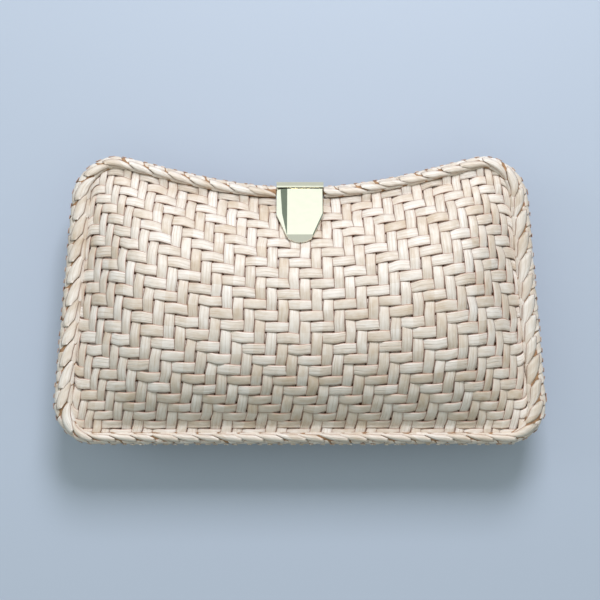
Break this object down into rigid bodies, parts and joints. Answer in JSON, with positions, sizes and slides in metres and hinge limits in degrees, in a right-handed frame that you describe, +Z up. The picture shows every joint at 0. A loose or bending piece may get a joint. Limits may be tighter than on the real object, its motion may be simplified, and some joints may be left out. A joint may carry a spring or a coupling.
{
  "type": "clutch bag",
  "caption": "Woven straw clutch bag with a plaited rim, two hinged halves and a pale gold lift-tab clasp.",
  "frame": {"origin": "on the surface the bag lies on, under the middle of its outline", "axes": "+X along the long side, +Y towards the clasp edge, +Z up through the bag to its front"},
  "size_m": [0.2496, 0.1445, 0.0604],
  "materials": {
    "woven_straw": "satin straw weave",
    "plaited_straw": "satin straw plait",
    "lining_cloth": "plain cotton",
    "pale_gold": "polished pale gold",
    "frame_brass": "satin",
    "pin_steel": "plain",
    "magnet": "nickel plated"
  },
  "bodies": {
    "back": {"back_shell": "woven_straw", "back_rim": "plaited_straw", "back_frame": "frame_brass", "back_lining": "lining_cloth", "back_rivets": "frame_brass", "back_hinge_leaf_left": "frame_brass", "back_hinge_leaf_right": "frame_brass", "hinge_pin_left": "pin_steel", "hinge_pin_right": "pin_steel", "catch_plate": "frame_brass", "catch_magnet": "magnet"},
    "front": {"front_shell": "woven_straw", "front_rim": "plaited_straw", "front_frame": "frame_brass", "front_lining": "lining_cloth", "front_rivets": "frame_brass", "front_hinge_leaf_left": "frame_brass", "front_hinge_leaf_right": "frame_brass", "clasp_base": "pale_gold", "clasp_pin": "pin_steel"},
    "clasp": {"clasp_tab": "pale_gold", "clasp_latch": "pin_steel"}
  },
  "joints": [
    {"name": "shell_open", "type": "hinge", "parent": "back", "child": "front", "pos_m": [0, -0.0697, 0.03], "axis": [1, 0, 0], "range_deg": [0, 80]},
    {"name": "clasp_lift", "type": "hinge", "parent": "front", "child": "clasp", "pos_m": [0, 0.0586, 0.0342], "axis": [-1, 0, 0], "range_deg": [0, 70]}
  ]
}
